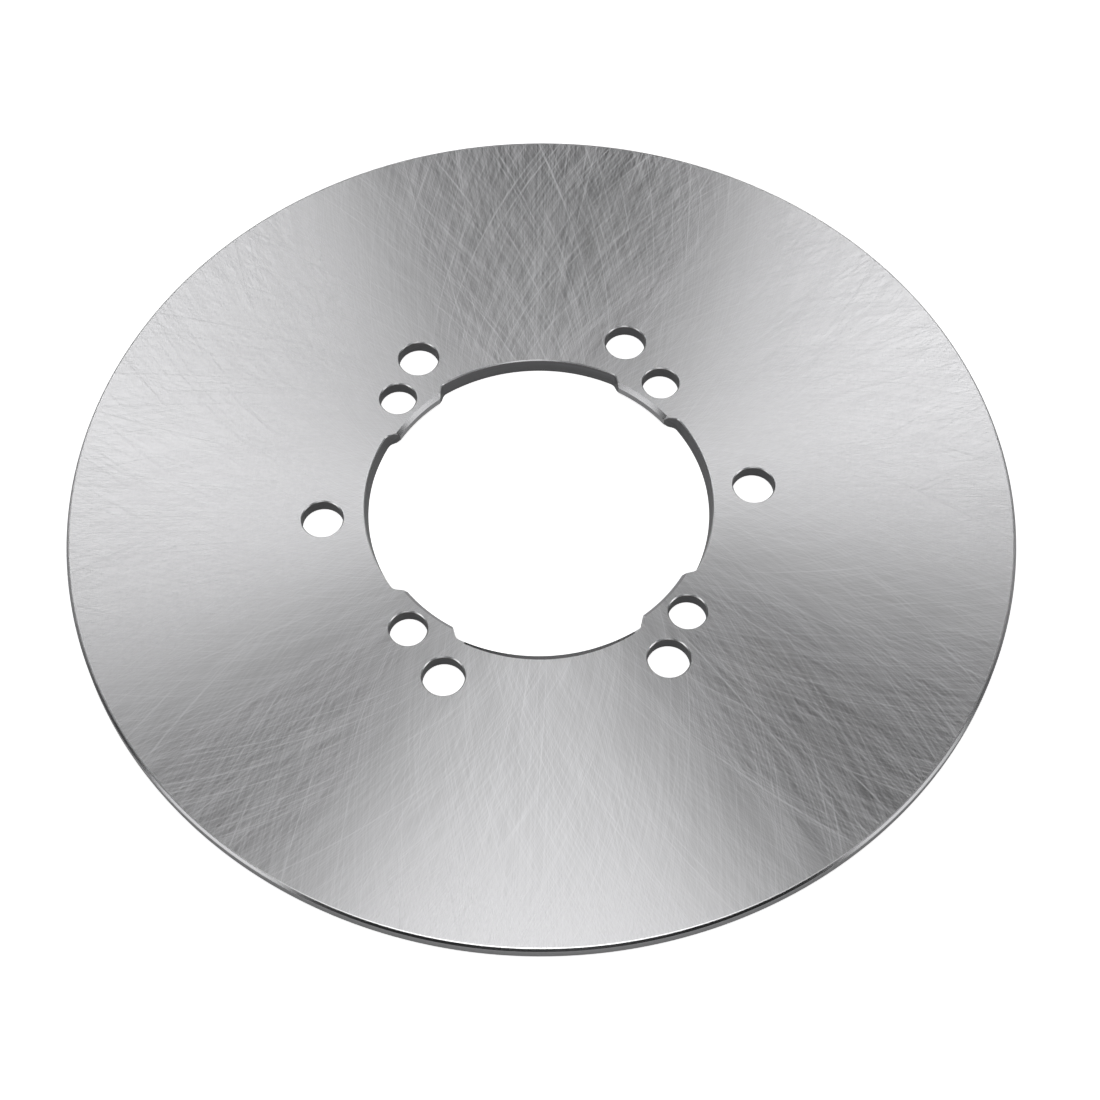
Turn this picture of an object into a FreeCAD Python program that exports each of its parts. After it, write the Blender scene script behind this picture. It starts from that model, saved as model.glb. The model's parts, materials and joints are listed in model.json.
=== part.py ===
"""One-piece steel brake disc: a flat ring with two bolt circles and a four-pad pilot bore.

Frame: origin on the disc's axis, on the hub-side face.  +Z points out of the braking face
that looks away from the hub.  +X runs through two opposite holes of the six-hole circle.
All lengths are millimetres and all angles are degrees.
"""
import FreeCAD, Part
import math
import os

# Ring
OUTER_DIAMETER = 240.0
THICKNESS = 4.0
RIM_CHAMFER = 0.65
EDGE_BREAK = 0.2

# Bolt circles
SIX_HOLE_PCD = 110.0
SIX_HOLE_DIAMETER = 10.5
FOUR_HOLE_PCD = 97.5
FOUR_HOLE_DIAMETER = 9.5
FOUR_HOLE_FIRST_ANGLE = 43.7

# Centre bore: four pilot pads stand in from a larger relief that opens towards +Z
RELIEF_TOP_DIAMETER = 88.4
RELIEF_BOTTOM_DIAMETER = 86.9
PILOT_DIAMETER = 83.0
PAD_HALF_ANGLE = 10.5
PAD_FLANK_LEAN = 47.0
PAD_FLANK_RUN = 8.0
PAD_ROOT_RADIUS = 1.8
PAD_TIP_RADIUS = 0.4
PAD_CHAMFER = 1.0

# One relief, the one nearest -Y, carries a wider shallow bevel that narrows towards both ends
BEVEL_REACH = 45.4
BEVEL_OFFSET = 4.5
BEVEL_WIDTH = 1.3
BEVEL_DEPTH = 0.5
BEVEL_HALF_ANGLE = 31.0

PAD_COUNT = 4
SIX_HOLE_COUNT = 6
OVERRUN = 1.0

OUTER_RADIUS = OUTER_DIAMETER / 2
RELIEF_TOP_RADIUS = RELIEF_TOP_DIAMETER / 2
RELIEF_BOTTOM_RADIUS = RELIEF_BOTTOM_DIAMETER / 2
PILOT_RADIUS = PILOT_DIAMETER / 2
UP = FreeCAD.Vector(0, 0, 1)


def polar(radius, angle, z=0.0):
    """The point at this radius and angle about the disc's axis."""
    turn = math.radians(angle)
    return FreeCAD.Vector(radius * math.cos(turn), radius * math.sin(turn), z)


def pad_angles():
    """The pads sit inboard of the four holes, one behind each."""
    return [FOUR_HOLE_FIRST_ANGLE + k * 360.0 / PAD_COUNT for k in range(PAD_COUNT)]


def ring_blank():
    """The flat disc with its chamfered rim, before anything is cut through it."""
    chamfer_foot = OUTER_RADIUS - RIM_CHAMFER
    section = [
        FreeCAD.Vector(0, 0, 0),
        FreeCAD.Vector(chamfer_foot, 0, 0),
        FreeCAD.Vector(OUTER_RADIUS, 0, RIM_CHAMFER),
        FreeCAD.Vector(OUTER_RADIUS, 0, THICKNESS - RIM_CHAMFER),
        FreeCAD.Vector(chamfer_foot, 0, THICKNESS),
        FreeCAD.Vector(0, 0, THICKNESS),
    ]
    face = Part.Face(Part.makePolygon(section + section[:1]))
    return face.revolve(FreeCAD.Vector(0, 0, 0), UP, 360)


def relief_cone():
    """The relief's tapered void, through and past both faces, with its seam inside a pad."""
    spread = (RELIEF_TOP_RADIUS - RELIEF_BOTTOM_RADIUS) * OVERRUN / THICKNESS
    cone = Part.makeCone(
        RELIEF_BOTTOM_RADIUS - spread,
        RELIEF_TOP_RADIUS + spread,
        THICKNESS + 2 * OVERRUN,
        FreeCAD.Vector(0, 0, -OVERRUN),
    )
    cone.rotate(FreeCAD.Vector(0, 0, 0), UP, FOUR_HOLE_FIRST_ANGLE)
    return cone


def pad_block(middle):
    """One pad, from its pilot arc out along both leaning flanks into the ring."""
    tip_in = polar(PILOT_RADIUS, middle - PAD_HALF_ANGLE)
    tip_out = polar(PILOT_RADIUS, middle + PAD_HALF_ANGLE)
    root_in = tip_in + polar(PAD_FLANK_RUN, middle - PAD_HALF_ANGLE - PAD_FLANK_LEAN)
    root_out = tip_out + polar(PAD_FLANK_RUN, middle + PAD_HALF_ANGLE + PAD_FLANK_LEAN)
    edges = [
        Part.Arc(tip_in, polar(PILOT_RADIUS, middle), tip_out).toShape(),
        Part.LineSegment(tip_out, root_out).toShape(),
        Part.LineSegment(root_out, root_in).toShape(),
        Part.LineSegment(root_in, tip_in).toShape(),
    ]
    face = Part.Face(Part.Wire(edges))
    face.translate(FreeCAD.Vector(0, 0, -2 * OVERRUN))
    return face.extrude(FreeCAD.Vector(0, 0, THICKNESS + 4 * OVERRUN))


def bore_void():
    """The space inside the bore, with the pads' roots and tips rounded."""
    void = relief_cone().cut([pad_block(middle) for middle in pad_angles()])
    between = (PILOT_RADIUS + RELIEF_BOTTOM_RADIUS) / 2
    upright = [e for e in void.Edges if e.BoundBox.ZLength > THICKNESS]
    roots = [e for e in upright if math.hypot(e.CenterOfMass.x, e.CenterOfMass.y) > between]
    tips = [e for e in upright if math.hypot(e.CenterOfMass.x, e.CenterOfMass.y) < between]
    if (len(roots), len(tips)) != (2 * PAD_COUNT, 2 * PAD_COUNT):
        raise RuntimeError("the bore should have two roots and two tips to a pad")
    void = void.makeFillet(PAD_ROOT_RADIUS, roots)
    tips = [
        e
        for e in void.Edges
        if e.BoundBox.ZLength > THICKNESS
        and math.hypot(e.CenterOfMass.x, e.CenterOfMass.y) < PILOT_RADIUS + EDGE_BREAK
    ]
    return void.makeFillet(PAD_TIP_RADIUS, tips)


def break_bore_edges(disc):
    """The fine chamfer where the bore meets each face."""
    rim = [
        e
        for e in disc.Edges
        if e.BoundBox.ZLength < 1e-6
        and all(math.hypot(v.X, v.Y) < RELIEF_TOP_RADIUS + EDGE_BREAK for v in e.Vertexes)
    ]
    return disc.makeChamfer(EDGE_BREAK, rim)


def pad_chamfer_cutters():
    """The two coaxial cones that bevel the pads' pilot edge, one from each face."""
    top = THICKNESS - PAD_CHAMFER
    wide = PILOT_RADIUS + PAD_CHAMFER
    upper = Part.makeCone(
        PILOT_RADIUS, wide + OVERRUN, PAD_CHAMFER + OVERRUN, FreeCAD.Vector(0, 0, top)
    )
    lower = Part.makeCone(
        wide + OVERRUN, PILOT_RADIUS, PAD_CHAMFER + OVERRUN, FreeCAD.Vector(0, 0, -OVERRUN)
    )
    return [upper, lower]


def relief_bevel_cutter():
    """A bevel turned about a centre off the axis, so that it is widest at the relief's middle."""
    direction = FOUR_HOLE_FIRST_ANGLE - 1.5 * 360.0 / PAD_COUNT
    centre = polar(BEVEL_OFFSET, direction)
    outer = BEVEL_REACH - BEVEL_OFFSET
    inner = outer - BEVEL_WIDTH
    floor = THICKNESS - BEVEL_DEPTH
    above = THICKNESS + OVERRUN
    overhang = outer + OVERRUN * BEVEL_WIDTH / BEVEL_DEPTH
    start = direction - BEVEL_HALF_ANGLE
    section = [
        centre + polar(inner - OVERRUN, start, floor),
        centre + polar(inner, start, floor),
        centre + polar(overhang, start, above),
        centre + polar(inner - OVERRUN, start, above),
    ]
    face = Part.Face(Part.makePolygon(section + section[:1]))
    return face.revolve(centre, UP, 2 * BEVEL_HALF_ANGLE)


def hole_cutter(diameter):
    """A through hole on the axis, with a fine break at both of its edges."""
    radius = diameter / 2
    drill = Part.makeCylinder(radius, THICKNESS + 2 * OVERRUN, FreeCAD.Vector(0, 0, -OVERRUN))
    upper = Part.makeCone(
        radius,
        radius + EDGE_BREAK + OVERRUN,
        EDGE_BREAK + OVERRUN,
        FreeCAD.Vector(0, 0, THICKNESS - EDGE_BREAK),
    )
    lower = Part.makeCone(
        radius + EDGE_BREAK + OVERRUN,
        radius,
        EDGE_BREAK + OVERRUN,
        FreeCAD.Vector(0, 0, -OVERRUN),
    )
    return drill.fuse([upper, lower])


def bolt_circle_cutters(pcd, diameter, count, first_angle):
    """One hole cutter at each place on a bolt circle."""
    cutters = []
    for k in range(count):
        cutter = hole_cutter(diameter)
        cutter.translate(polar(pcd / 2, first_angle + k * 360.0 / count))
        cutters.append(cutter)
    return cutters


def brake_disc():
    """The whole disc, one solid."""
    disc = break_bore_edges(ring_blank().cut(bore_void()))
    cutters = pad_chamfer_cutters()
    cutters.append(relief_bevel_cutter())
    cutters += bolt_circle_cutters(SIX_HOLE_PCD, SIX_HOLE_DIAMETER, SIX_HOLE_COUNT, 0.0)
    cutters += bolt_circle_cutters(
        FOUR_HOLE_PCD, FOUR_HOLE_DIAMETER, PAD_COUNT, FOUR_HOLE_FIRST_ANGLE
    )
    disc = disc.cut(cutters)
    if len(disc.Solids) != 1 or not disc.isValid():
        raise RuntimeError("the disc should be one valid solid")
    return disc.Solids[0]


os.makedirs("parts", exist_ok=True)
rotor = brake_disc()
rotor.exportStep("parts/brake_disc.step")
print("brake_disc volume mm3", round(rotor.Volume, 1), "faces", len(rotor.Faces))
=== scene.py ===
"""Looks for a one-piece steel brake disc: its finely ground faces, turned rim, cut holes and bore.

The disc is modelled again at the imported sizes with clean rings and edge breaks, because its
looks are all in how the ground faces and the narrow edges catch the light.  It is modelled in
millimetres and brought to metres at the end, because fine rings need the room.
"""
import json
import math

import bpy
from mathutils import Matrix, Vector


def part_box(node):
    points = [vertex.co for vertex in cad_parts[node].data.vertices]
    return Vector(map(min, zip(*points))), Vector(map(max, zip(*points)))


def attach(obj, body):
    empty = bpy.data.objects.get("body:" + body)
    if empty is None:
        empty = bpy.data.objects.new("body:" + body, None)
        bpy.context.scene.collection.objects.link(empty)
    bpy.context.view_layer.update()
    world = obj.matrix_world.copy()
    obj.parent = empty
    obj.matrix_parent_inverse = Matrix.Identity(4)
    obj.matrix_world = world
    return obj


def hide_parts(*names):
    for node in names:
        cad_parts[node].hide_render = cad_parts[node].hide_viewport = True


bl_info = {
    "name": "Brake Disc",
    "version": (1, 0, 0),
    "blender": (4, 5, 0),
    "location": "View3D > Sidebar > Brake Disc",
    "description": "Models a ground steel brake disc and the stage that it is shown on",
    "category": "Object",
}

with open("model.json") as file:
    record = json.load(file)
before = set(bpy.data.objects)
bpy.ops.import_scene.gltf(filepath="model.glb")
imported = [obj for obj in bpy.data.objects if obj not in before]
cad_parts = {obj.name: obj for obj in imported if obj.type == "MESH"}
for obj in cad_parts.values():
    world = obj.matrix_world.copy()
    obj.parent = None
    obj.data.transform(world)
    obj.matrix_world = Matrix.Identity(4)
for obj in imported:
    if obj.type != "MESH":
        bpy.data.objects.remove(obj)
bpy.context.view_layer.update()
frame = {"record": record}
NODE_LOW, NODE_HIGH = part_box("brake_disc")
MM = 0.001

# Finishes, by their place in the disc's list of materials. The cut walls' finish is partly painted
# shade, and the broken edges' finish partly a painted highlight.
GROUND, TURNED, SHADED_CUT, HIGHLIT_BREAK = range(4)

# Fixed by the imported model, in millimetres and degrees
OUTER_RADIUS = NODE_HIGH.x / MM
THICKNESS = (NODE_HIGH.z - NODE_LOW.z) / MM
MOUNTS = {mount["name"]: mount["dims"] for mount in frame["record"]["mounts"]}
SIX = MOUNTS["six_bolt_circle"]
FOUR = MOUNTS["four_bolt_circle"]
FOUR_HOLE_FIRST_ANGLE = 43.7
RELIEF_TOP_RADIUS = 44.2
RELIEF_BOTTOM_RADIUS = 43.45
PILOT_RADIUS = 41.5
PAD_COUNT = 4
PAD_HALF_ANGLE = 10.5
PAD_ROOT_ANGLE = 13.9
PAD_CHAMFER = 1.0

# The bevel on one relief: how far its cone's axis stands off the disc's, and where its edge
# reaches to from the disc's axis
BEVEL_OFFSET = 4.5
BEVEL_REACH = 45.4
BEVEL_WIDTH = 1.3
BEVEL_DEPTH = 0.5
BEVEL_HALF_ANGLE = 31.0

# Where the rounding of a pad's corners starts, measured back from each corner
PAD_ROOT_SETBACK = 0.77
PAD_TIP_SETBACK = 0.16

# Fineness of the rings
RIM_STEPS = 480
HOLE_STEPS = 80
PAD_ARC_STEPS = 21
RELIEF_ARC_STEPS = 48
CORNER_STEPS = 6
CONE_STEPS = 360
SMOOTH_ANGLE = 12.0

# How far a cutter reaches past the disc
OVERRUN = 1.0

# How near counts as the same when vertices, edges and faces are picked by their place
SAME_HEIGHT = 0.001
SAME_RADIUS = 0.01
SAME_CORNER = 0.02
SAME_POINT = 0.005

# Slack round a pad: past its half angle in degrees, its pilot radius and its chamfer
PAD_ANGLE_SLACK = 0.2
PAD_WALL_SLACK = 0.5
PAD_CHAMFER_SLACK = 0.2

# How a face lies, by the upright part of its normal
FLAT = 0.995
SHALLOW = 0.8
STEEP = 0.3

# Scratches on the ground faces.  Lean is per natural log of the distance from the axis, and a
# scratch fades in as its noise rises from low to high.
SCRATCH_INPUTS = ("Lean", "Fineness", "Shortness", "Seed", "Low", "High")
SCRATCH_LAYERS = (
    # label, share of the whole, values of the inputs above
    ("grain", 0.28, (0.0, 400.0, 50.0, 0.0, 0.44, 0.56)),
    ("forward", 0.28, (0.45, 320.0, 30.0, 11.0, 0.48, 0.59)),
    ("backward", 0.24, (-0.50, 320.0, 30.0, 23.0, 0.49, 0.60)),
    ("long forward", 0.50, (0.62, 240.0, 12.0, 37.0, 0.62, 0.68)),
    ("long backward", 0.50, (-0.36, 240.0, 12.0, 51.0, 0.62, 0.68)),
    ("long outward", 0.45, (0.08, 240.0, 10.0, 67.0, 0.62, 0.68)),
)
CLOUD_SHARE = 0.12
GROUND_SHADES = (0.80, 1.12)
GROUND_ROUGHNESS = (0.28, 0.47)
GROUND_DEPTH = 0.008 * MM
GROUND_RELIEF = 0.5
GROUND_ANISOTROPY = 0.77
QUARTER_TURN = 0.25

# Tool marks on the other finishes: how far they spread the roughness, and how much they stand out
MARK_SPREAD = 0.15
MARK_RELIEF = 0.4

# Camera, aimed near the axis from a raised three-quarter view, in metres and degrees
CAMERA_LENS = 71.9
CAMERA_DISTANCE = 0.558
CAMERA_ELEVATION = 59.02
CAMERA_TURN = -2.03
CAMERA_ROLL = 2.81
CAMERA_SHIFT = 0.0643
CAMERA_AIM = (-0.0156, -0.0115)

# Stage: how bright the floor and the backdrop look, the even light on the disc, and the lamps
FLOOR_GLOW = 0.85
BACKDROP_GLOW = 1.0
WORLD_LIGHT = 0.02
FLOOR_RADIUS = 4.0
FLOOR_GAP = 0.2 * MM
SOFTBOXES = (
    # name, azimuth and elevation in degrees, distance and size in metres, power in watts
    ("right_fan", 56, 44, 0.95, 0.4, 1.35),
    ("left_fan", 116, 46, 0.78, 0.4, 1.05),
    ("near_fan", -97, 87, 0.75, 0.4, 1.6),
    ("front_box", -88, 38, 1.2, 0.45, 0.9),
    ("left_strip", -154, 20, 1.0, 0.5, 1.2),
    ("right_strip", -26, 18, 1.0, 0.5, 1.2),
    ("back_strip", 88, 14, 1.0, 0.3, 0.1),
)


def polar(radius, angle, z=0.0):
    """The point at this radius and angle in degrees about the disc's axis."""
    turn = math.radians(angle)
    return Vector((radius * math.cos(turn), radius * math.sin(turn), z))


class DiscSizes(bpy.types.PropertyGroup):
    """The small sizes that a maker would change."""

    rim_chamfer: bpy.props.FloatProperty(
        name="Rim chamfer",
        description="Leg of the chamfer at both edges of the rim",
        default=0.65 * MM,
        unit="LENGTH",
    )
    edge_break: bpy.props.FloatProperty(
        name="Edge break",
        description="Leg of the fine break where a hole or the bore meets a face",
        default=0.25 * MM,
        unit="LENGTH",
    )
    rim_break: bpy.props.FloatProperty(
        name="Rim break",
        description="Width of the fine break along the edges of the rim chamfer",
        default=0.2 * MM,
        unit="LENGTH",
    )


class DiscFinish(bpy.types.PropertyGroup):
    """The colours of the disc's four finishes. The cut walls' colour is partly a cut finish and partly
    painted shade, and the broken edges' colour partly a polished break and partly a painted highlight.
    """

    ground: bpy.props.FloatVectorProperty(
        name="Ground faces",
        description="Colour of the ground braking faces",
        default=(0.60, 0.60, 0.61),
        subtype="COLOR",
        size=3,
    )
    turned: bpy.props.FloatVectorProperty(
        name="Turned steel",
        description="Colour of the turned rim and the pilot pads",
        default=(0.46, 0.46, 0.47),
        subtype="COLOR",
        size=3,
    )
    # Partly a darker cut finish, partly painted shade: the walls' steel is far darker than the faces'
    # so the holes and the bore look shaded
    cut: bpy.props.FloatVectorProperty(
        name="Cut walls",
        description="Colour of the dark walls of the holes and the bore reliefs",
        default=(0.19, 0.19, 0.195),
        subtype="COLOR",
        size=3,
    )
    # Partly a polished break, partly a painted highlight: the breaks' steel is far brighter than the
    # faces' so every edge shows a bright line
    broken: bpy.props.FloatVectorProperty(
        name="Broken edges",
        description="Colour of the bright fine breaks along the edges",
        default=(0.95, 0.95, 0.96),
        subtype="COLOR",
        size=3,
    )


# ---------------------------------------------------------------- modelling helpers


def select_by(mesh, kind, wanted):
    """Deselects all, then selects the vertices, edges or faces that wanted accepts, by their place."""
    bpy.ops.mesh.select_all(action="DESELECT")
    bpy.ops.mesh.select_mode(type=kind)
    bpy.ops.object.mode_set(mode="OBJECT")
    elements = {"VERT": mesh.vertices, "EDGE": mesh.edges, "FACE": mesh.polygons}[kind]
    picked = 0
    for element in elements:
        if wanted(element):
            element.select = True
            picked += 1
    bpy.ops.object.mode_set(mode="EDIT")
    if not picked:
        raise RuntimeError("nothing was selected")


def edge_ends(mesh, edge):
    """The two ends of an edge, as points."""
    return [mesh.vertices[index].co for index in edge.vertices]


def flat_radius(point):
    """Distance from the disc's axis."""
    return math.hypot(point.x, point.y)


def at_height(point, height):
    """True where a point is at this height."""
    return abs(point.z - height) < SAME_HEIGHT


def extrude_ring(rise, growth, centre):
    """Extrudes the selected ring by rise, and grows or shrinks it about centre."""
    bpy.ops.mesh.extrude_region_move(TRANSFORM_OT_translate={"value": (0, 0, rise)})
    bpy.ops.transform.resize(value=(growth, growth, 1), center_override=centre)


def follow_profile(profile, centre):
    """Extrudes the selected circle about centre through a profile of (radius, height) stations."""
    for (radius, height), (next_radius, next_height) in zip(profile, profile[1:]):
        extrude_ring(next_height - height, next_radius / radius, centre)


def hole_profile(radius, broken):
    """A straight bore with a fine break at each face."""
    return [
        (radius + broken, 0.0),
        (radius, broken),
        (radius, THICKNESS - broken),
        (radius + broken, THICKNESS),
    ]


def rim_profile(chamfer, broken):
    """The chamfered rim, with a fine break where each chamfer meets the face and the wall."""
    foot = OUTER_RADIUS - chamfer
    into_chamfer = 0.3 * broken
    up_the_wall = 0.5 * broken
    lower = [
        (foot - broken, 0.0),
        (foot + into_chamfer, into_chamfer),
        (OUTER_RADIUS - into_chamfer, chamfer - into_chamfer),
        (OUTER_RADIUS, chamfer + up_the_wall),
    ]
    upper = [(radius, THICKNESS - height) for radius, height in reversed(lower)]
    return lower + upper


def spin_about_axis(angle, steps):
    """Spins the selected vertex anticlockwise about the axis, leaving its far end selected."""
    # with +Z as its axis, spin turns clockwise
    bpy.ops.mesh.spin(
        steps=steps, angle=math.radians(angle), center=(0, 0, 0), axis=(0, 0, -1)
    )


def draw_bore_outline(height):
    """The bore's outline at this height: pilot arc, flank, relief arc and flank, four times."""
    pitch = 360.0 / PAD_COUNT
    start = polar(PILOT_RADIUS, FOUR_HOLE_FIRST_ANGLE - PAD_HALF_ANGLE, height)
    # a circle merged to its centre leaves one vertex to spin
    bpy.ops.mesh.select_all(action="DESELECT")
    bpy.ops.mesh.primitive_circle_add(vertices=3, radius=1.0, location=start)
    bpy.ops.mesh.merge(type="CENTER")
    for pad in range(PAD_COUNT):
        middle = FOUR_HOLE_FIRST_ANGLE + pad * pitch
        spin_about_axis(2 * PAD_HALF_ANGLE, PAD_ARC_STEPS)
        tip = polar(PILOT_RADIUS, middle + PAD_HALF_ANGLE)
        root = polar(RELIEF_BOTTOM_RADIUS, middle + PAD_ROOT_ANGLE)
        bpy.ops.mesh.extrude_region_move(TRANSFORM_OT_translate={"value": root - tip})
        spin_about_axis(pitch - 2 * PAD_ROOT_ANGLE, RELIEF_ARC_STEPS)
        root = polar(RELIEF_BOTTOM_RADIUS, middle + pitch - PAD_ROOT_ANGLE)
        tip = polar(PILOT_RADIUS, middle + pitch - PAD_HALF_ANGLE)
        bpy.ops.mesh.extrude_region_move(TRANSFORM_OT_translate={"value": tip - root})


def bore_corner_angles(off_middle):
    """The angles of the two corners that stand this far from each pad's middle."""
    angles = []
    for pad in range(PAD_COUNT):
        middle = FOUR_HOLE_FIRST_ANGLE + pad * 360.0 / PAD_COUNT
        angles += [middle - off_middle, middle + off_middle]
    return angles


def round_bore_corners(mesh, radius, off_middle, setback):
    """Rounds the upright edges at these corners of the bore."""
    corners = [polar(radius, angle) for angle in bore_corner_angles(off_middle)]

    def upright_at_corner(edge):
        first, second = edge_ends(mesh, edge)
        upright = abs(first.z - second.z) > THICKNESS / 2
        foot = first if first.z < second.z else second
        return upright and any((foot - corner).xy.length < SAME_CORNER for corner in corners)

    select_by(mesh, "EDGE", upright_at_corner)
    bpy.ops.mesh.bevel(
        offset_type="OFFSET", offset=setback, segments=CORNER_STEPS, affect="EDGES"
    )


def open_out_reliefs(mesh, height):
    """Moves the reliefs' arcs at this height outwards, which tapers their walls."""

    def on_relief(vertex):
        off_relief = abs(flat_radius(vertex.co) - RELIEF_BOTTOM_RADIUS)
        return at_height(vertex.co, height) and off_relief < SAME_RADIUS

    select_by(mesh, "VERT", on_relief)
    growth = RELIEF_TOP_RADIUS / RELIEF_BOTTOM_RADIUS
    bpy.ops.transform.resize(value=(growth, growth, 1), center_override=(0, 0, 0))


def near_a_pad(point):
    """True within a pad's span, between its two tips."""
    pitch = 360.0 / PAD_COUNT
    angle = math.degrees(math.atan2(point.y, point.x)) - FOUR_HOLE_FIRST_ANGLE
    off_middle = abs((angle + pitch / 2) % pitch - pitch / 2)
    return off_middle < PAD_HALF_ANGLE + PAD_ANGLE_SLACK


def on_bore_wall(point):
    """True on the bore's outline, which is nearer the axis where the four holes come close."""
    if near_a_pad(point):
        return flat_radius(point) < PILOT_RADIUS + PAD_WALL_SLACK
    return flat_radius(point) < RELIEF_TOP_RADIUS + SAME_RADIUS


def select_bore_rim(mesh, height):
    """Selects the edges of the bore's wall at this height."""

    def on_rim(edge):
        ends = edge_ends(mesh, edge)
        return all(at_height(end, height) and on_bore_wall(end) for end in ends)

    select_by(mesh, "EDGE", on_rim)


def add_bore_wall(mesh, broken):
    """The bore's wall with rounded pad corners and a fine break at each face."""
    draw_bore_outline(broken)

    def on_outline(vertex):
        inside = flat_radius(vertex.co) < RELIEF_BOTTOM_RADIUS + SAME_RADIUS
        return inside and at_height(vertex.co, broken)

    select_by(mesh, "VERT", on_outline)
    bpy.ops.mesh.remove_doubles(threshold=SAME_POINT)
    extrude_ring(THICKNESS - 2 * broken, 1.0, (0, 0, 0))
    open_out_reliefs(mesh, THICKNESS - broken)
    round_bore_corners(mesh, RELIEF_BOTTOM_RADIUS, PAD_ROOT_ANGLE, PAD_ROOT_SETBACK)
    round_bore_corners(mesh, PILOT_RADIUS, PAD_HALF_ANGLE, PAD_TIP_SETBACK)
    growth = (RELIEF_TOP_RADIUS + broken) / RELIEF_TOP_RADIUS
    for height, rise in ((THICKNESS - broken, broken), (broken, -broken)):
        select_bore_rim(mesh, height)
        extrude_ring(rise, growth, (0, 0, 0))


def close_face(mesh, height):
    """Fills the flat face at this height between the rim, the holes and the bore."""

    def on_face(edge):
        return all(at_height(end, height) for end in edge_ends(mesh, edge))

    select_by(mesh, "EDGE", on_face)
    bpy.ops.mesh.fill(use_beauty=True)


def cut_away(disc, cutter):
    """Takes the cutter's space out of the disc, and removes the cutter."""
    modifier = disc.modifiers.new("cut", "BOOLEAN")
    modifier.operation = "DIFFERENCE"
    modifier.solver = "EXACT"
    modifier.object = cutter
    bpy.context.view_layer.objects.active = disc
    bpy.ops.object.modifier_apply(modifier=modifier.name)
    bpy.data.objects.remove(cutter)


def add_cone(low_radius, high_radius, low, high, centre):
    """An upright cone frustum between two heights, the active object."""
    bpy.ops.object.select_all(action="DESELECT")
    bpy.ops.mesh.primitive_cone_add(
        vertices=CONE_STEPS,
        radius1=low_radius,
        radius2=high_radius,
        depth=high - low,
        location=(centre.x, centre.y, (low + high) / 2),
    )
    return bpy.context.active_object


def cut_pad_chamfers(disc):
    """Bevels the pilot edge of all four pads, at both faces."""
    wide = PILOT_RADIUS + PAD_CHAMFER + OVERRUN
    axis = Vector((0, 0, 0))
    top = add_cone(PILOT_RADIUS, wide, THICKNESS - PAD_CHAMFER, THICKNESS + OVERRUN, axis)
    cut_away(disc, top)
    bottom = add_cone(wide, PILOT_RADIUS, -OVERRUN, PAD_CHAMFER, axis)
    cut_away(disc, bottom)


def cut_relief_bevel(disc):
    """The shallow bevel on one relief: a sector of a cone whose axis is off the disc's own."""
    # the relief nearest -Y, a pitch and a half back from the first pad
    direction = FOUR_HOLE_FIRST_ANGLE - 1.5 * 360.0 / PAD_COUNT
    centre = polar(BEVEL_OFFSET, direction)
    outer = BEVEL_REACH - BEVEL_OFFSET
    overhang = outer + OVERRUN * BEVEL_WIDTH / BEVEL_DEPTH
    floor = THICKNESS - BEVEL_DEPTH
    cone = add_cone(outer - BEVEL_WIDTH, overhang, floor, THICKNESS + OVERRUN, centre)
    bpy.ops.object.mode_set(mode="EDIT")
    for side in (-1, 1):
        bpy.ops.mesh.select_all(action="SELECT")
        bpy.ops.mesh.bisect(
            plane_co=centre,
            plane_no=polar(1, direction + side * (BEVEL_HALF_ANGLE + 90)),
            use_fill=True,
            clear_outer=True,
        )
    bpy.ops.object.mode_set(mode="OBJECT")
    cut_away(disc, cone)


# ---------------------------------------------------------------- the disc


def start_disc(sizes):
    """The disc's object with the wall of its rim, left in edit mode."""
    profile = rim_profile(sizes.rim_chamfer / MM, sizes.rim_break / MM)
    bpy.ops.object.select_all(action="DESELECT")
    bpy.ops.mesh.primitive_circle_add(vertices=RIM_STEPS, radius=profile[0][0])
    disc = bpy.context.active_object
    disc.name = "ground_disc"
    disc.data.name = "ground_disc"
    bpy.ops.object.mode_set(mode="EDIT")
    bpy.ops.mesh.select_all(action="SELECT")
    follow_profile(profile, (0, 0, 0))
    return disc


def add_hole_wall(radius, centre, broken):
    """The wall of one round hole, with a fine break at each face."""
    profile = hole_profile(radius, broken)
    bpy.ops.mesh.select_all(action="DESELECT")
    bpy.ops.mesh.primitive_circle_add(
        vertices=HOLE_STEPS, radius=profile[0][0], location=centre
    )
    follow_profile(profile, centre)


def model_disc(sizes):
    """The disc as one closed mesh: walls drawn ring by ring, then filled, then cut."""
    edge_break = sizes.edge_break / MM
    disc = start_disc(sizes)
    for radius, centre in bolt_holes():
        add_hole_wall(radius, centre, edge_break)
    add_bore_wall(disc.data, edge_break)
    for height in (0.0, THICKNESS):
        close_face(disc.data, height)
    bpy.ops.mesh.select_all(action="SELECT")
    bpy.ops.mesh.normals_make_consistent(inside=False)
    bpy.ops.object.mode_set(mode="OBJECT")
    cut_pad_chamfers(disc)
    cut_relief_bevel(disc)
    return disc


def bolt_holes():
    """(radius, centre) of every hole in the two bolt circles."""
    holes = []
    for circle, first_angle in ((SIX, 0.0), (FOUR, FOUR_HOLE_FIRST_ANGLE)):
        for k in range(circle["count"]):
            centre = polar(circle["pcd_mm"] / 2, first_angle + k * 360.0 / circle["count"])
            holes.append((circle["hole_r_mm"], centre))
    return holes


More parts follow.
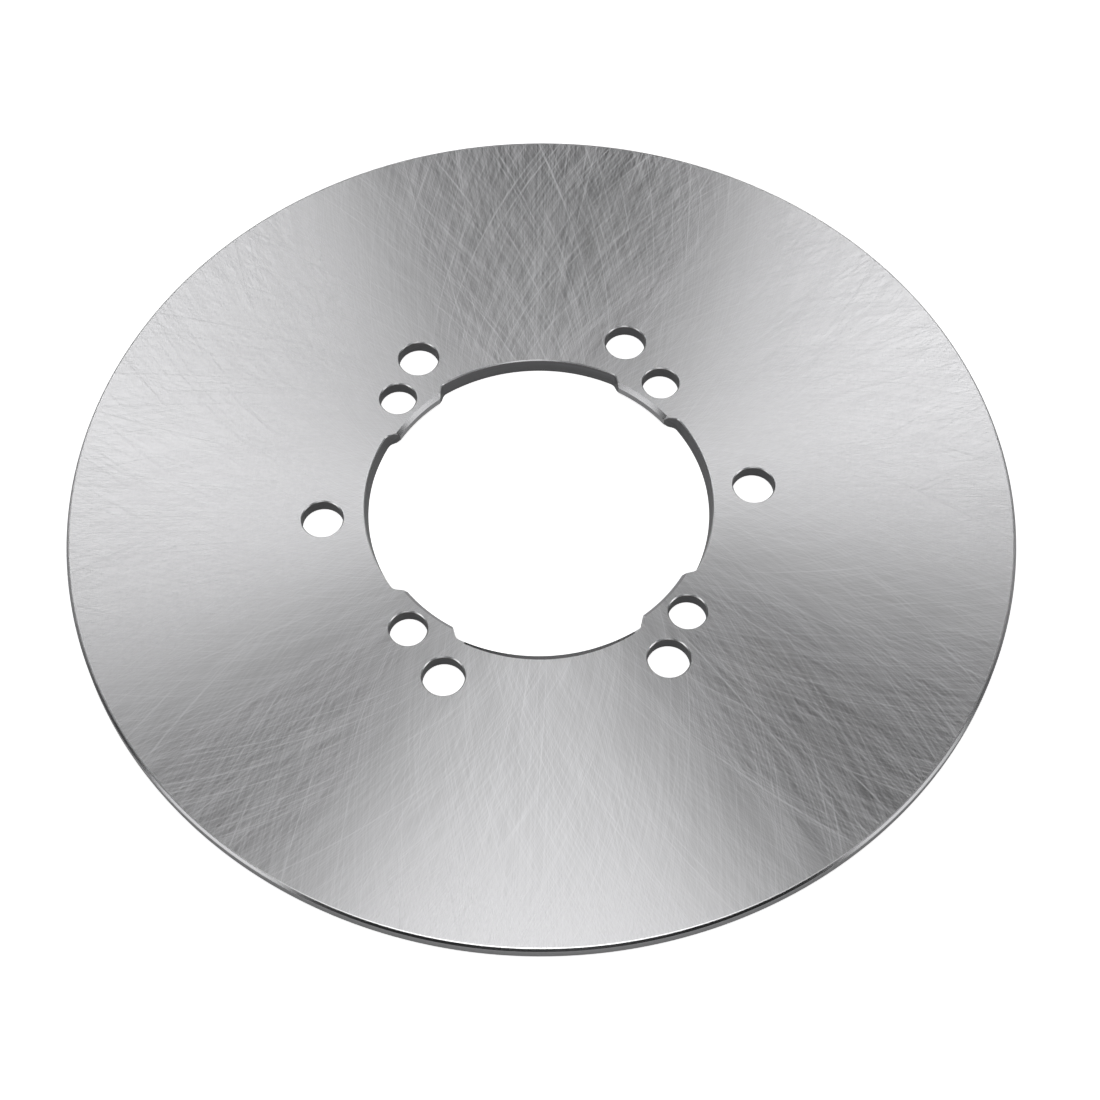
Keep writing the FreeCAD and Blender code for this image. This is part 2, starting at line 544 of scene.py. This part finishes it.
def finish_of(face, sizes):
    """The number of the finish that a face takes, from where it is and how it lies."""
    level = abs(face.normal.z)
    if level > FLAT:
        return GROUND
    distance = flat_radius(face.center)
    # The rim's fine breaks take the broken-edge finish, whose bright colour is partly a painted
    # highlight
    if distance > OUTER_RADIUS - (sizes.rim_chamfer + 2 * sizes.rim_break) / MM:
        return HIGHLIT_BREAK if level > SHALLOW else TURNED
    pad_edge = PILOT_RADIUS + PAD_CHAMFER + PAD_CHAMFER_SLACK
    if distance < pad_edge and near_a_pad(face.center):
        return TURNED
    # Steep walls take the cut finish, whose dark colour is partly painted shade; other shallow faces
    # near the bore take the broken-edge finish, partly a painted highlight
    if level < STEEP:
        return SHADED_CUT
    return TURNED if distance > RELIEF_BOTTOM_RADIUS and level > SHALLOW else HIGHLIT_BREAK


def give_finishes(disc, sizes, materials):
    """Gives every face its finish, and smooths the round walls."""
    for material in materials:
        disc.data.materials.append(material)
    for face in disc.data.polygons:
        face.material_index = finish_of(face, sizes)
    bpy.ops.object.select_all(action="DESELECT")
    disc.select_set(True)
    bpy.context.view_layer.objects.active = disc
    bpy.ops.object.shade_smooth_by_angle(angle=math.radians(SMOOTH_ANGLE))


def bring_to_metres(disc):
    """Scales the finished mesh from millimetres about the origin."""
    bpy.ops.object.select_all(action="DESELECT")
    disc.select_set(True)
    bpy.context.view_layer.objects.active = disc
    bpy.ops.object.mode_set(mode="EDIT")
    bpy.ops.mesh.select_all(action="SELECT")
    bpy.ops.transform.resize(value=(MM, MM, MM), center_override=(0, 0, 0))
    bpy.ops.object.mode_set(mode="OBJECT")


# ---------------------------------------------------------------- materials


def add_node(tree, kind, inputs=None, **settings):
    """A node with its settings and its inputs, each a value or another node's output."""
    node = tree.nodes.new(kind)
    for name, value in settings.items():
        setattr(node, name, value)
    for name, value in (inputs or {}).items():
        if isinstance(value, bpy.types.NodeSocket):
            tree.links.new(value, node.inputs[name])
        else:
            node.inputs[name].default_value = value
    return node


def new_group(name, inputs, outputs):
    """An empty shader group with float or vector sockets, and its two ends."""
    group = bpy.data.node_groups.new(name, "ShaderNodeTree")
    for socket, (kind, default) in inputs.items():
        made = group.interface.new_socket(name=socket, in_out="INPUT", socket_type=kind)
        if default is not None:
            made.default_value = default
    for socket, kind in outputs.items():
        group.interface.new_socket(name=socket, in_out="OUTPUT", socket_type=kind)
    start = group.nodes.new("NodeGroupInput")
    end = group.nodes.new("NodeGroupOutput")
    return group, start, end


def math_node(tree, operation, first, second=None):
    """The output of one Math node."""
    inputs = {0: first}
    if second is not None:
        inputs[1] = second
    return add_node(tree, "ShaderNodeMath", inputs, operation=operation).outputs[0]


def vector_math(tree, operation, first, second=None, scale=None):
    """The vector that one Vector Math node gives."""
    inputs = {0: first}
    if second is not None:
        inputs[1] = second
    if scale is not None:
        inputs["Scale"] = scale
    return add_node(tree, "ShaderNodeVectorMath", inputs, operation=operation).outputs[0]


def about_axis(tree, point):
    """A point's flat part, and its distance from the disc's axis."""
    flat = vector_math(tree, "MULTIPLY", point, (1, 1, 0))
    length = add_node(tree, "ShaderNodeVectorMath", {0: flat}, operation="LENGTH")
    return flat, length.outputs["Value"]


def noise_at(tree, flat, height):
    """Fine noise, read at a flat place raised to a height."""
    raised = add_node(tree, "ShaderNodeCombineXYZ", {"Z": height}).outputs[0]
    place = vector_math(tree, "ADD", flat, raised)
    inputs = {"Vector": place, "Scale": 1.0, "Detail": 2.0}
    return add_node(tree, "ShaderNodeTexNoise", inputs).outputs[0]


def scratch_lay_group():
    """Fine scratches that run outwards from the disc's axis, leaning by a set amount."""
    group, start, end = new_group(
        "scratch_lay",
        {
            "Vector": ("NodeSocketVector", None),
            "Lean": ("NodeSocketFloat", 0.0),
            "Fineness": ("NodeSocketFloat", 200.0),
            "Shortness": ("NodeSocketFloat", 60.0),
            "Seed": ("NodeSocketFloat", 0.0),
            "Low": ("NodeSocketFloat", 0.35),
            "High": ("NodeSocketFloat", 0.65),
        },
        {"Mask": "NodeSocketFloat"},
    )
    flat, reach = about_axis(group, start.outputs["Vector"])
    log_reach = math_node(group, "LOGARITHM", reach, math.e)
    turn = math_node(group, "MULTIPLY", log_reach, start.outputs["Lean"])
    turned = add_node(
        group, "ShaderNodeVectorRotate", {"Vector": flat, "Angle": turn}, rotation_type="Z_AXIS"
    ).outputs[0]
    outward = vector_math(group, "NORMALIZE", turned)
    round_the_disc = vector_math(group, "SCALE", outward, scale=start.outputs["Fineness"])
    along = math_node(group, "MULTIPLY", reach, start.outputs["Shortness"])
    noise = noise_at(group, round_the_disc, math_node(group, "ADD", along, start.outputs["Seed"]))
    mask = add_node(
        group,
        "ShaderNodeMapRange",
        {
            "Value": noise,
            "From Min": start.outputs["Low"],
            "From Max": start.outputs["High"],
        },
    ).outputs[0]
    group.links.new(mask, end.inputs["Mask"])
    return group


def tool_marks_group():
    """Fine marks round a turned or cut surface, spaced by distance from the axis and by height."""
    group, start, end = new_group(
        "tool_marks",
        {
            "Vector": ("NodeSocketVector", None),
            "Spacing": ("NodeSocketFloat", 4000.0),
            "Waviness": ("NodeSocketFloat", 20.0),
        },
        {"Marks": "NodeSocketFloat"},
    )
    flat, reach = about_axis(group, start.outputs["Vector"])
    split = add_node(group, "ShaderNodeSeparateXYZ", {"Vector": start.outputs["Vector"]})
    along = math_node(group, "ADD", reach, split.outputs["Z"])
    step = math_node(group, "MULTIPLY", along, start.outputs["Spacing"])
    slow = vector_math(group, "SCALE", flat, scale=start.outputs["Waviness"])
    group.links.new(noise_at(group, slow, step), end.inputs["Marks"])
    return group


def new_material(name):
    """An empty node material: its tree, its Principled BSDF and the Object coordinates."""
    material = bpy.data.materials.new(name)
    material.use_nodes = True
    tree = material.node_tree
    shader = tree.nodes["Principled BSDF"]
    shader.inputs["Metallic"].default_value = 1.0
    place = add_node(tree, "ShaderNodeTexCoord").outputs["Object"]
    return material, tree, shader, place


def mixed_colour(tree, colour, dark, light, mask):
    """The colour output of a Mix node between two shades of one colour."""
    mix = tree.nodes.new("ShaderNodeMix")
    mix.data_type = "RGBA"
    tree.links.new(mask, mix.inputs[0])
    mix.inputs[6].default_value = tuple(part * dark for part in colour) + (1.0,)
    mix.inputs[7].default_value = tuple(part * light for part in colour) + (1.0,)
    return mix.outputs[2]


def mapped(tree, value, low, high):
    """A 0 to 1 value spread between low and high."""
    inputs = {"Value": value, "To Min": low, "To Max": high}
    return add_node(tree, "ShaderNodeMapRange", inputs).outputs[0]


def bumped(tree, height, distance, strength):
    """The normal output of a Bump node over a 0 to 1 height."""
    inputs = {"Height": height, "Distance": distance, "Strength": strength}
    return add_node(tree, "ShaderNodeBump", inputs).outputs[0]


def sum_of_scratches(tree, place, lay):
    """All the scratch layers of a ground face, each at its share, added up."""
    total = None
    for label, share, values in SCRATCH_LAYERS:
        inputs = dict(zip(SCRATCH_INPUTS, values))
        inputs["Vector"] = place
        scratches = add_node(tree, "ShaderNodeGroup", inputs, node_tree=lay, label=label)
        part = math_node(tree, "MULTIPLY", scratches.outputs["Mask"], share)
        total = part if total is None else math_node(tree, "ADD", total, part)
    return total


def ground_material(colour, lay):
    """Ground braking face: long scratches outwards and crossing, over a fine even grain."""
    material, tree, shader, place = new_material("ground_face")
    total = sum_of_scratches(tree, place, lay)
    cloud = add_node(
        tree, "ShaderNodeTexNoise", {"Vector": place, "Scale": 18.0, "Detail": 3.0}
    ).outputs[0]
    worn = math_node(tree, "ADD", total, math_node(tree, "MULTIPLY", cloud, CLOUD_SHARE))
    shade = mixed_colour(tree, colour, *GROUND_SHADES, worn)
    tree.links.new(shade, shader.inputs["Base Color"])
    tree.links.new(mapped(tree, worn, *GROUND_ROUGHNESS), shader.inputs["Roughness"])
    relief = bumped(tree, total, GROUND_DEPTH, GROUND_RELIEF)
    tree.links.new(relief, shader.inputs["Normal"])
    shader.inputs["Anisotropic"].default_value = GROUND_ANISOTROPY
    shader.inputs["Anisotropic Rotation"].default_value = QUARTER_TURN
    tangent = add_node(tree, "ShaderNodeTangent", direction_type="RADIAL", axis="Z")
    tree.links.new(tangent.outputs[0], shader.inputs["Tangent"])
    return material


def marked_material(name, colour, marks, roughness, spacing, contrast, depth):
    """Turned or cut steel: fine marks that follow the tool round the surface."""
    material, tree, shader, place = new_material(name)
    inputs = {"Vector": place, "Spacing": spacing}
    mark = add_node(tree, "ShaderNodeGroup", inputs, node_tree=marks).outputs["Marks"]
    shade = mixed_colour(tree, colour, 1.0 - contrast, 1.0 + contrast, mark)
    tree.links.new(shade, shader.inputs["Base Color"])
    low, high = roughness * (1.0 - MARK_SPREAD), roughness * (1.0 + MARK_SPREAD)
    tree.links.new(mapped(tree, mark, high, low), shader.inputs["Roughness"])
    tree.links.new(bumped(tree, mark, depth, MARK_RELIEF), shader.inputs["Normal"])
    return material


def build_materials(finish):
    """The disc's four finishes, in the order of GROUND, TURNED, SHADED_CUT and HIGHLIT_BREAK."""
    lay = scratch_lay_group()
    marks = tool_marks_group()
    ground = ground_material(finish.ground, lay)
    turned = marked_material(
        "turned_steel",
        finish.turned,
        marks,
        roughness=0.22,
        spacing=9000.0,
        contrast=0.12,
        depth=0.004 * MM,
    )
    # The cut walls: a cut finish darkened far past the faces' steel, as painted shade in the holes and
    # the bore
    cut = marked_material(
        "cut_wall_painted_shade",
        finish.cut,
        marks,
        roughness=0.42,
        spacing=5000.0,
        contrast=0.25,
        depth=0.02 * MM,
    )
    # The edge breaks: a polished break brightened far past the faces' steel, as a painted highlight
    # along every edge
    broken = marked_material(
        "broken_edge_painted_highlight",
        finish.broken,
        marks,
        roughness=0.35,
        spacing=6000.0,
        contrast=0.08,
        depth=0.004 * MM,
    )
    return [ground, turned, cut, broken]


# ---------------------------------------------------------------- the stage


def pale_material():
    """The floor's matt white.  Only the camera sees its glow, so the glow lights nothing."""
    material = bpy.data.materials.new("pale_floor")
    material.use_nodes = True
    tree = material.node_tree
    shader = tree.nodes["Principled BSDF"]
    shader.inputs["Base Color"].default_value = (0.8, 0.8, 0.8, 1)
    shader.inputs["Roughness"].default_value = 1.0
    shader.inputs["Specular IOR Level"].default_value = 0.0
    shader.inputs["Emission Color"].default_value = (1, 1, 1, 1)
    path = add_node(tree, "ShaderNodeLightPath")
    glow = math_node(tree, "MULTIPLY", path.outputs["Is Camera Ray"], FLOOR_GLOW)
    tree.links.new(glow, shader.inputs["Emission Strength"])
    return material


def add_floor():
    """A plain pale round floor under the disc."""
    bpy.ops.object.select_all(action="DESELECT")
    bpy.ops.mesh.primitive_circle_add(
        vertices=96, radius=FLOOR_RADIUS, fill_type="NGON", location=(0, 0, -FLOOR_GAP)
    )
    floor = bpy.context.active_object
    floor.name = "floor"
    bpy.ops.object.transform_apply(location=True, rotation=False, scale=False)
    floor.data.materials.append(pale_material())


def add_softbox(name, azimuth, elevation, distance, size, power):
    """A square soft light that faces the disc.  Azimuth is anticlockwise from +X."""
    flat = math.cos(math.radians(elevation)) * distance
    place = polar(flat, azimuth, math.sin(math.radians(elevation)) * distance)
    bpy.ops.object.light_add(type="AREA", location=place)
    lamp = bpy.context.active_object
    lamp.name = name
    lamp.data.shape = "SQUARE"
    lamp.data.size = size
    lamp.data.energy = power
    lamp.rotation_mode = "QUATERNION"
    lamp.rotation_quaternion = (-place).to_track_quat("-Z", "Y")


def add_lights():
    """Soft studio light: boxes whose gleams spread over the ground face as soft fans."""
    for name, azimuth, elevation, distance, size, power in SOFTBOXES:
        add_softbox(name, azimuth, elevation, distance, size, power)


def set_world():
    """A pale backdrop behind the floor, and a dimmer even light on the disc."""
    world = bpy.data.worlds.new("studio")
    world.use_nodes = True
    tree = world.node_tree
    tree.nodes.clear()
    dim = add_node(tree, "ShaderNodeBackground", {"Strength": WORLD_LIGHT})
    pale = add_node(tree, "ShaderNodeBackground", {"Strength": BACKDROP_GLOW})
    for background in (dim, pale):
        background.inputs["Color"].default_value = (1, 1, 1, 1)
    path = add_node(tree, "ShaderNodeLightPath")
    seen = tree.nodes.new("ShaderNodeMixShader")
    tree.links.new(path.outputs["Is Camera Ray"], seen.inputs[0])
    tree.links.new(dim.outputs[0], seen.inputs[1])
    tree.links.new(pale.outputs[0], seen.inputs[2])
    output = tree.nodes.new("ShaderNodeOutputWorld")
    tree.links.new(seen.outputs[0], output.inputs["Surface"])
    bpy.context.scene.world = world


def add_camera():
    """The camera: aimed, raised, turned about the disc's axis and rolled a little."""
    elevation = math.radians(CAMERA_ELEVATION)
    back = Vector((0, -math.cos(elevation), math.sin(elevation)))
    right = Vector((1, 0, 0))
    up = back.cross(right)
    aim = right * CAMERA_AIM[0] + up * CAMERA_AIM[1]
    place = aim + back * CAMERA_DISTANCE
    roll = math.radians(CAMERA_ROLL)
    across = right * math.cos(roll) - up * math.sin(roll)
    upward = right * math.sin(roll) + up * math.cos(roll)
    attitude = Matrix((across, upward, back)).transposed().to_4x4()
    turn = Matrix.Rotation(math.radians(CAMERA_TURN), 4, "Z")
    lift = Matrix.Translation((0, 0, THICKNESS * MM))
    bpy.ops.object.camera_add()
    camera = bpy.context.active_object
    camera.name = "camera"
    camera.matrix_world = lift @ turn @ Matrix.Translation(place) @ attitude
    camera.data.lens = CAMERA_LENS
    camera.data.sensor_width = 36.0
    camera.data.shift_x = CAMERA_SHIFT
    camera.data.clip_start = 0.01
    camera.data.clip_end = 20.0
    bpy.context.scene.camera = camera


# ---------------------------------------------------------------- add-on


class BRAKEDISC_OT_disc(bpy.types.Operator):
    """Model the disc and give it its finishes"""

    bl_idname = "brakedisc.disc"
    bl_label = "Brake disc"

    def execute(self, context):
        disc = model_disc(context.scene.disc_sizes)
        materials = build_materials(context.scene.disc_finish)
        give_finishes(disc, context.scene.disc_sizes, materials)
        bring_to_metres(disc)
        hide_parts("brake_disc")
        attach(disc, "root")
        return {"FINISHED"}


class BRAKEDISC_OT_stage(bpy.types.Operator):
    """Set up the floor, the light and the camera"""

    bl_idname = "brakedisc.stage"
    bl_label = "Stage"

    def execute(self, context):
        add_floor()
        add_lights()
        set_world()
        add_camera()
        context.scene.view_settings.view_transform = "Standard"
        return {"FINISHED"}


class BRAKEDISC_PT_panel(bpy.types.Panel):
    """The disc's sizes, colours and operators"""

    bl_label = "Brake Disc"
    bl_idname = "BRAKEDISC_PT_panel"
    bl_space_type = "VIEW_3D"
    bl_region_type = "UI"
    bl_category = "Brake Disc"

    def draw(self, context):
        column = self.layout.column()
        for settings in (context.scene.disc_sizes, context.scene.disc_finish):
            for name in settings.__annotations__:
                column.prop(settings, name)
        column.operator(BRAKEDISC_OT_disc.bl_idname)
        column.operator(BRAKEDISC_OT_stage.bl_idname)


CLASSES = (
    DiscSizes,
    DiscFinish,
    BRAKEDISC_OT_disc,
    BRAKEDISC_OT_stage,
    BRAKEDISC_PT_panel,
)


def register():
    """Registers the classes, and puts the two groups of settings on the scene."""
    for made in CLASSES:
        bpy.utils.register_class(made)
    bpy.types.Scene.disc_sizes = bpy.props.PointerProperty(type=DiscSizes)
    bpy.types.Scene.disc_finish = bpy.props.PointerProperty(type=DiscFinish)


def unregister():
    """Takes away all that register added."""
    del bpy.types.Scene.disc_finish
    del bpy.types.Scene.disc_sizes
    for made in reversed(CLASSES):
        bpy.utils.unregister_class(made)


def main():
    """Makes the disc and the stage."""
    register()
    bpy.ops.brakedisc.disc()
    bpy.ops.brakedisc.stage()


if __name__ == "__main__":
    main()
